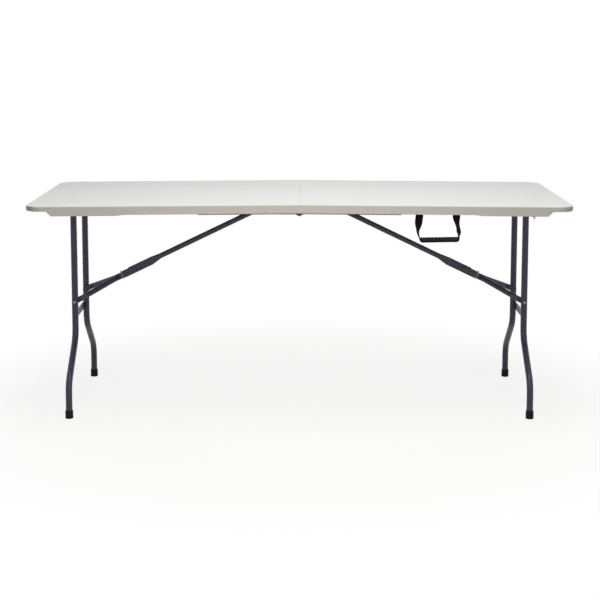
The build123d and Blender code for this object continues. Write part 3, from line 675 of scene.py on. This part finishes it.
def turned(profile, centres, axes, steps=32, sunk=0.0):
    """Points and faces of equal turned shapes: each (radius, height) of the side view goes round
    the axis, heights run along it, and every centre gets one copy. sunk is how far each point of
    the grid is pressed down along the axis."""
    centres = np.asarray(centres, float)
    axes = np.broadcast_to(np.asarray(axes, float), centres.shape)
    upright = np.abs(axes[:, 2:]) > UPRIGHT_FROM
    side = np.cross(np.where(upright, (1.0, 0.0, 0.0), (0.0, 0.0, 1.0)), axes)
    side /= np.linalg.norm(side, axis=1, keepdims=True)
    other = np.cross(axes, side)
    angle = full_turn(steps)[None, :, None]
    ring = side[:, None] * np.cos(angle) + other[:, None] * np.sin(angle)
    radius, height = np.asarray(profile, float).T[:, :, None]
    height = np.broadcast_to(height - sunk, (len(radius), steps))[None, :, :, None]
    spokes = radius[None, :, :, None] * ring[:, None]
    points = centres[:, None, None] + spokes + height * axes[:, None, None]
    return many_grids(points, wrap_columns=True)


# %% Rivet side views
RIM_SHARE = 0.2


def crown(radius, height, seat):
    """Side view of a head from its crown to its seat: most of a quarter oval, then a short rim."""
    t = np.linspace(0, np.pi / 2, 9)
    dome = np.stack([radius * np.sin(t), seat + height * (RIM_SHARE + (1 - RIM_SHARE) * np.cos(t))], -1)
    return np.append(dome, [(radius, seat)], 0)


def one_head(radius, height, seat, shank, end):
    """Side view of a rivet with one head, whose shank ends flat at a height."""
    return np.append(crown(radius, height, seat), [(shank, seat), (shank, end), (0.0, end)], 0)


def two_heads(radius, height, shank, half):
    """Side view of a rivet with a head at each end of its shank."""
    upper = np.append(crown(radius, height, half), [(shank, half)], 0)
    return np.concatenate([upper, upper[::-1] * (1, -1)])


# %% Stand-ins for CAD pieces
def stand_in(name, surface, material, slot, node, body, sharp_angle=40):
    """A piece from a surface's points and faces that is shown for a CAD piece and rides a body."""
    piece = make_piece(name, *surface, material, slot, sharp_angle=sharp_angle)
    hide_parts(node)
    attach(piece, body)


# %% Leg rivets
pivot_low, pivot_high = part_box("right_pivot_tube")
PIVOT_X, PIVOT_Z = (pivot_low.x + pivot_high.x) / 2, (pivot_low.z + pivot_high.z) / 2
LEG_Y, LEG_RADIUS, RIVET_DROP = 0.124, 0.011, 0.343
RIVET_HEAD, RIVET_SHANK = 0.005, 0.003
LEG_CROWN, LEG_SEAT = 0.0032, -0.0012
FRONT_AND_BACK = np.array(((0.0, -1.0, 0.0), (0.0, 1.0, 0.0)))
SIDES = (("left", -1), ("right", 1))

profile = one_head(RIVET_HEAD, LEG_CROWN, LEG_SEAT, RIVET_SHANK, -2 * LEG_RADIUS)
for side, sign in SIDES:
    outside = (LEG_Y + LEG_RADIUS) * FRONT_AND_BACK + (sign * PIVOT_X, 0.0, PIVOT_Z - RIVET_DROP)
    rivets = turned(profile, outside, FRONT_AND_BACK)
    stand_in(f"{side}_rivets", rivets, bright_steel, "painted_steel", f"{side}_leg_rivets", f"{side}_legs")

# %% Brace rivets
BRACE_CROWN, STUD_END = 0.002, -0.0002
ALONG_Y = (0.0, 1.0, 0.0)

stud_profile = one_head(RIVET_HEAD, BRACE_CROWN, 0.0, RIVET_SHANK, STUD_END)
for side in ("left", "right"):
    low_corner, high_corner = np.array(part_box(f"{side}_elbow_rivet"))
    elbow_profile = two_heads(RIVET_HEAD, BRACE_CROWN, RIVET_SHANK, high_corner[1] - BRACE_CROWN)
    elbow = turned(elbow_profile, [(low_corner + high_corner) / 2], ALONG_Y)
    stand_in(f"{side}_elbow_pin", elbow, worn_steel, "painted_steel", f"{side}_elbow_rivet", f"{side}_arms")

    low_corner, high_corner = np.array(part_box(f"{side}_arm_studs"))
    seats = (low_corner + high_corner) / 2 + high_corner[1] * FRONT_AND_BACK
    studs = turned(stud_profile, seats, -FRONT_AND_BACK)
    stand_in(f"{side}_arm_rivets", studs, worn_steel, "painted_steel", f"{side}_arm_studs", f"{side}_arms")

# %% Hinge rivets and pins
LEAF_RIVET_X, LEAF_RIVET_Y, LEAF_RIVET_Z = np.linspace(0.110, 0.3185, 3), 0.35525, 0.0128
PIN_Y, PIN_HALF = 0.3583, 0.0044
# The left half is the right one after a half turn about the upright axis.
HALF_TURN = np.array((-1.0, -1.0, 1.0))
HALVES = (("left", HALF_TURN), ("right", 1.0))


def in_two_rows(x, y, z):
    """Places on the flat right half: every x in the front row, then in the back one, at a height."""
    x, y = np.meshgrid(x, (-y, y))
    return np.stack([x, y, np.full_like(x, z)], -1).reshape(-1, 3)


rivet_places = lean(in_two_rows(LEAF_RIVET_X, LEAF_RIVET_Y, LEAF_RIVET_Z))
rivet_profile = two_heads(radius=0.0045, height=0.0013, shank=0.0024, half=0.00275)
for side, way in HALVES:
    rivets = turned(rivet_profile, rivet_places * way, ALONG_Y)
    stand_in(f"{side}_leaf_rivets", rivets, zinc_plate, "zinc_steel", f"{side}_hinge_rivets", f"{side}_half")
pin_places = PIN_Y * FRONT_AND_BACK + (0.0, 0.0, HINGE_HEIGHT)
pins = turned(two_heads(radius=0.0042, height=0.0009, shank=0.0025, half=PIN_HALF), pin_places, ALONG_Y)
stand_in("seam_pins", pins, worn_steel, "zinc_steel", "hinge_pins", "left_half")

# %% [markdown]
# ## Screws
#
# The rails are held to the tops, and the handle and the latch to the rail, by pan-head screws with
# a cross recess. The recess could be cut with a Boolean modifier. A turned grid that is fine enough
# can be pressed in instead: two crossed slots, whose depth falls off towards their ends.

# %% Cross recess
RECESS_REACH, RECESS_SLOT, RECESS_DEPTH = 0.62, 0.0014, 0.0009
SLOT_SIDES, SLOT_FADE = (0.35, 0.65), 0.3
SCREW_STEPS = 64


def slot_mask(along, across, reach):
    """1 within the slot's width near the axis, fading to 0 past its sides and along its reach."""
    side, past = (RECESS_SLOT * share for share in SLOT_SIDES)
    within = 1 - smooth_step(side, past, across)
    return within * (1 - smooth_step(reach * SLOT_FADE, reach, along))


def cross_recess(profile):
    """How far each point of a turned grid is sunk: seen along the axis, the deeper of two slots at
    right angles. Only points on the outer face of the head are pressed."""
    radius = profile[:, :1]
    angle = full_turn(SCREW_STEPS)
    reach = radius.max() * RECESS_REACH
    one, other = np.abs(radius * np.cos(angle)), np.abs(radius * np.sin(angle))
    cross = np.maximum(slot_mask(one, other, reach), slot_mask(other, one, reach))
    on_face = np.arange(len(radius))[:, None] <= np.argmax(radius)
    return np.where(on_face, RECESS_DEPTH * cross, 0.0)


# %% Screw shape
FACE_ROWS, FACE_REACH = 22, 0.97
DOME_EDGE, RIM_TOP = 0.55, 0.5


def screw(head, height, shank, end):
    """Side view of a pan-head screw: a flat dome in many rows, a rim, a seat at height zero, then
    the shank and its point."""
    r = np.linspace(0, FACE_REACH, FACE_ROWS)
    face = np.stack([head * r, height * (DOME_EDGE + (1 - DOME_EDGE) * np.sqrt(1 - r**2))], -1)
    rest = [(head, height * RIM_TOP), (head, 0.0), (shank, 0.0), (shank, end + 2 * shank), (0.0, end)]
    return np.append(face, rest, 0)


def screws(name, profile, centres, axis, node, body):
    """A set of equal screws that takes the place of a CAD piece."""
    surface = turned(profile, centres, axis, SCREW_STEPS, cross_recess(profile))
    stand_in(name, surface, zinc_plate, "zinc_steel", node, body)


# %% Rail screws
RAIL_Y, RAIL_BOTTOM = 0.344, 0.0055
RAIL_SCREW_X = np.linspace(0.120, 0.700, 4)

down = lean((0.0, 0.0, -1.0)) - lean((0.0, 0.0, 0.0))
screw_places = lean(in_two_rows(RAIL_SCREW_X, RAIL_Y, RAIL_BOTTOM))
profile = screw(head=0.004, height=0.0022, shank=0.002, end=-0.0255)
for side, way in HALVES:
    node, body = f"{side}_rail_screws", f"{side}_half"
    screws(f"{side}_top_screws", profile, screw_places * way, down * way, node, body)

# %% Handle and latch screws
RAIL_FACE, TAB_STACK, TAB_SCREW_Z = 0.354, 0.0031, 0.0102
LATCH_HEAD, BOLT_SHANK, TIP_RADIUS, TIP_LONG = 0.0013, 0.003, 0.002, 0.003
FORWARD = (0.0, -1.0, 0.0)

tab_places = lean([(x, -RAIL_FACE - TAB_STACK, TAB_SCREW_Z) for x in (INNER_TAB_X, OUTER_TAB_X)])
profile = screw(head=0.004, height=0.0013, shank=0.002, end=-0.0061)
screws("tab_screws", profile, tab_places, FORWARD, "handle_screws", "right_half")

low_corner, high_corner = np.array(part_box("latch_screw"))
seat_y = low_corner[1] + LATCH_HEAD
latch_place = (low_corner + high_corner) / 2 * (1, 0, 1) + (0, seat_y, 0)
end = seat_y - high_corner[1]
bolt_head = screw(head=0.005, height=LATCH_HEAD, shank=BOLT_SHANK, end=end)[:-2]
step_up = end + TIP_LONG
bolt_end = [(BOLT_SHANK, step_up), (TIP_RADIUS, step_up), (TIP_RADIUS, end), (0.0, end)]
bolt_profile = np.concatenate([bolt_head, bolt_end])
screws("latch_bolt", bolt_profile, [latch_place], FORWARD, "latch_screw", "right_half")

# %% [markdown]
# ## Foot caps
#
# Each leg stands in a moulded cap: a rounded lower rim, a wall with three fine grooves and a socket
# for the tube. A bevelled cylinder would do from afar. Here the cap is turned like the rivets, and
# its side view runs over the rim and down into the socket, so it is closed.

# %% Foot side view
FOOT_HIGH, FOOT_RADIUS, FOOT_FLOOR, SOCKET = 0.027, 0.0135, 0.003, 0.01105
FOOT_EDGE, RIM_EDGE, FOOT_TAPER = 0.0016, 0.001, 0.0003
GROOVES, GROOVE_WIDE, GROOVE_DEEP = (0.009, 0.0135, 0.018), 0.0007, 0.0007

quarter = np.linspace(-np.pi / 2, 0, 7)
rise = np.linspace(FOOT_EDGE, FOOT_HIGH - 1.5 * RIM_EDGE, 60)
groove = sum(np.exp(-(((rise - at) / GROOVE_WIDE) ** 2)) for at in GROOVES)
wall = FOOT_RADIUS - FOOT_TAPER * rise / FOOT_HIGH - GROOVE_DEEP * groove
edge_x, edge_z = FOOT_RADIUS + FOOT_EDGE * (np.cos(quarter) - 1), FOOT_EDGE * (1 + np.sin(quarter))
rim_x = FOOT_RADIUS - FOOT_TAPER - RIM_EDGE - RIM_EDGE * np.sin(quarter)
rim_z = FOOT_HIGH + RIM_EDGE * (np.cos(quarter) - 1)
foot_profile = np.concatenate(
    [
        [(0.0, 0.0)],
        np.stack([edge_x, edge_z], -1),
        np.stack([wall, rise], -1),
        np.stack([rim_x, rim_z], -1),
        [(SOCKET, FOOT_HIGH), (SOCKET, FOOT_FLOOR), (0.0, FOOT_FLOOR)],
    ]
)
print("points in the foot's side view:", len(foot_profile))

# %% Foot caps
FOOT_STEPS = 48

for side in ("left", "right"):
    for row in ("front", "back"):
        foot = f"{side}_{row}_foot"
        low_corner, high_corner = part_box(foot)
        centre = ((low_corner.x + high_corner.x) / 2, (low_corner.y + high_corner.y) / 2, low_corner.z)
        cap = turned(foot_profile, [centre], (0.0, 0.0, 1.0), FOOT_STEPS)
        stand_in(f"{foot}_cap", cap, foot_rubber, "black_plastic", foot, f"{side}_legs", sharp_angle=50)

# %% [markdown]
# ## Weld beads
#
# The legs are welded to the pivot tube, and the flat bar to the legs. Where two equal tubes meet,
# the joint line rises and falls like a saddle round the leg; at the bar it is a straight line. A
# curve with a round bevel could be laid along the joint. Here a small circle is carried along it,
# because its size can then ripple as the welder's puddle leaves it.

# %% Bead shapes
BEAD = 0.0021
BAR_BEAD = 0.8 * BEAD
RIPPLE, RIPPLE_PITCH = 0.14, 0.0021
BEAD_SIDES, RING_STEPS, LINE_STEPS = 12, 240, 100
BEAD_SINK, SADDLE_ROUND = 0.0004, 0.002


def weld_ring(centre):
    """Round the leg by an angle: the line lies on the leg's radius and drops to the pivot tube's
    surface, and a circle of rippled size goes round it."""
    angle = full_turn(RING_STEPS)[:, None]
    around = full_turn(BEAD_SIDES)
    ripples = round(2 * np.pi * LEG_RADIUS / RIPPLE_PITCH)
    drop = -np.sqrt((LEG_RADIUS * np.sin(angle)) ** 2 + SADDLE_ROUND**2)
    size = BEAD * (1 + RIPPLE * np.abs(np.sin(angle * ripples / 2)))
    reach = LEG_RADIUS - BEAD_SINK + size * np.cos(around)
    height = drop + BEAD_SINK + size * np.sin(around)
    ring = np.stack([reach * np.cos(angle), reach * np.sin(angle), height], -1)
    return ring + np.asarray(centre)


def weld_line(foot, length):
    """Up from a point: a circle of rippled size that swells from nothing and falls to nothing."""
    t = np.linspace(0, 1, LINE_STEPS)[:, None]
    around = full_turn(BEAD_SIDES)
    size = BAR_BEAD * np.sqrt(1 - np.abs(2 * t - 1) ** 6)
    size = size * (1 + RIPPLE * np.abs(np.sin(np.pi * t * length / RIPPLE_PITCH)))
    height = t * length + np.zeros_like(around)
    line = np.stack([size * np.cos(around), size * np.sin(around), height], -1)
    return line + np.asarray(foot)


# %% Beads
for side, sign in SIDES:
    rings = np.stack([weld_ring((sign * PIVOT_X, row * LEG_Y, PIVOT_Z)) for row in (-1, 1)])
    points, faces = many_grids(rings, wrap_rows=True, wrap_columns=True)
    beads = make_piece(f"{side}_pivot_beads", points, faces, powder_coat, "painted_steel", sharp_angle=80)
    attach(beads, f"{side}_legs")

    low_corner, high_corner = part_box(f"{side}_leg_bar")
    inner_x = low_corner.x if sign > 0 else high_corner.x
    from_axis = abs(inner_x) - PIVOT_X
    joint_y = LEG_Y - np.sqrt(LEG_RADIUS**2 - from_axis**2)
    long = high_corner.z - low_corner.z
    lines = np.stack([weld_line((inner_x, row * joint_y, low_corner.z), long) for row in (-1, 1)])
    points, faces = many_grids(lines, wrap_columns=True)
    beads = make_piece(f"{side}_bar_beads", points, faces, powder_coat, "painted_steel", sharp_angle=80)
    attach(beads, f"{side}_legs")

# %% [markdown]
# ## Floor and light
#
# The photograph has a plain white background and soft light from above and in front. The floor is
# a wide pale sheet. It could be lit until it is white, but that much light would wash out the
# table. Instead, where the camera or a reflection looks at it, most of its colour is plain white,
# so it meets the white world without a horizon. Near the table a share of it is lit as usual, so
# the table's shadow stays.

# %% Floor paint
FLOOR_COLOUR = (0.82, 0.79, 0.71, 1.0)
SHADOW_SHARE, SHADOW_INNER, SHADOW_OUTER = 0.12, 0.8, 1.5


def seen_directly(tree):
    """1 for rays from the camera and for mirror and glass rays, 0 for the light that bounces."""
    rays = tree.nodes.new("ShaderNodeLightPath").outputs
    shiny = math_node(tree, "MAXIMUM", rays["Is Glossy Ray"], rays["Is Transmission Ray"])
    return math_node(tree, "MAXIMUM", rays["Is Camera Ray"], shiny)


floor_paint = bpy.data.materials.new("floor_paint")
floor_paint.use_nodes = True
tree = floor_paint.node_tree
paint = tree.nodes["Principled BSDF"]
paint.inputs["Base Color"].default_value = FLOOR_COLOUR
paint.inputs["Roughness"].default_value = 0.9
paint.inputs["Specular IOR Level"].default_value = 0.0
reach = add_node(tree, "ShaderNodeVectorMath", {"operation": "LENGTH"})
tree.links.new(tree.nodes.new("ShaderNodeTexCoord").outputs["Object"], reach.inputs[0])
plain_share = add_node(
    tree,
    "ShaderNodeMapRange",
    {"interpolation_type": "SMOOTHSTEP"},
    From_Min=SHADOW_INNER,
    From_Max=SHADOW_OUTER,
    To_Min=1.0 - SHADOW_SHARE,
    To_Max=1.0,
)
tree.links.new(reach.outputs["Value"], plain_share.inputs["Value"])
white = add_node(tree, "ShaderNodeEmission", Strength=1.0)
blend = tree.nodes.new("ShaderNodeMixShader")
white_share = math_node(tree, "MULTIPLY", seen_directly(tree), plain_share.outputs["Result"])
tree.links.new(white_share, blend.inputs[0])
tree.links.new(paint.outputs[0], blend.inputs[1])
tree.links.new(white.outputs[0], blend.inputs[2])
tree.links.new(blend.outputs[0], tree.nodes["Material Output"].inputs["Surface"])
print("the shadow fades out", SHADOW_OUTER, "m from the middle")

# %% Floor
FLOOR_HALF, FLOOR_LINES = 400.0, 3

lines = np.linspace(-FLOOR_HALF, FLOOR_HALF, FLOOR_LINES)
floor_x, floor_y = np.meshgrid(lines, lines, indexing="ij")
floor_points = np.stack([floor_x, floor_y, np.zeros_like(floor_x)], -1).reshape(-1, 3)
floor_faces = grid_faces(FLOOR_LINES, FLOOR_LINES)[:, ::-1]
floor_mesh = bpy.data.meshes.new("floor")
floor_mesh.from_pydata(floor_points.tolist(), [], floor_faces.tolist())
floor_mesh.materials.append(floor_paint)
floor = bpy.data.objects.new("floor", floor_mesh)
bpy.context.scene.collection.objects.link(floor)
print("floor:", 2 * FLOOR_HALF, "m wide")

# %% White room
AMBIENT = 0.04

world = bpy.data.worlds.new("white_room")
bpy.context.scene.world = world
world.use_nodes = True
tree = world.node_tree
room = tree.nodes["Background"]
room.inputs["Color"].default_value = (1.0, 1.0, 1.0, 1.0)
lift = math_node(tree, "MULTIPLY", seen_directly(tree), 1.0 - AMBIENT)
tree.links.new(math_node(tree, "ADD", lift, AMBIENT), room.inputs["Strength"])
print("light from the room:", AMBIENT)


# %% Lamps
def soft_box(name, place, aim, width, depth, power, colour):
    """A rectangular area lamp, in metres and watts, turned to shine at a point."""
    data = bpy.data.lights.new(name, "AREA")
    data.shape = "RECTANGLE"
    data.size, data.size_y = width, depth
    data.energy = power
    data.color = colour
    lamp = bpy.data.objects.new(name, data)
    lamp.location = place
    towards = np.array(aim) - np.array(place)
    flat = np.hypot(towards[0], towards[1])
    lamp.rotation_euler = Euler((np.arctan2(flat, -towards[2]), 0.0, np.arctan2(-towards[0], towards[1])))
    lamp.visible_camera = False
    bpy.context.scene.collection.objects.link(lamp)


soft_box(
    "overhead",
    place=(0.16, -0.7, 3.0),
    aim=(0.16, -0.3, 0.7),
    width=2.5,
    depth=1.6,
    power=63.5,
    colour=(0.97, 0.98, 1.0),
)
soft_box(
    "front",
    place=(0.0, -1.6, 1.1),
    aim=(0.0, -0.3, 0.7),
    width=0.8,
    depth=0.5,
    power=5.0,
    colour=(1.0, 0.94, 0.77),
)
soft_box(
    "back",
    place=(0.0, 2.4, 0.5),
    aim=(0.0, 0.3, 0.55),
    width=2.4,
    depth=0.5,
    power=16.0,
    colour=(0.90, 0.93, 1.0),
)
print("lamps:", len(bpy.data.lights))
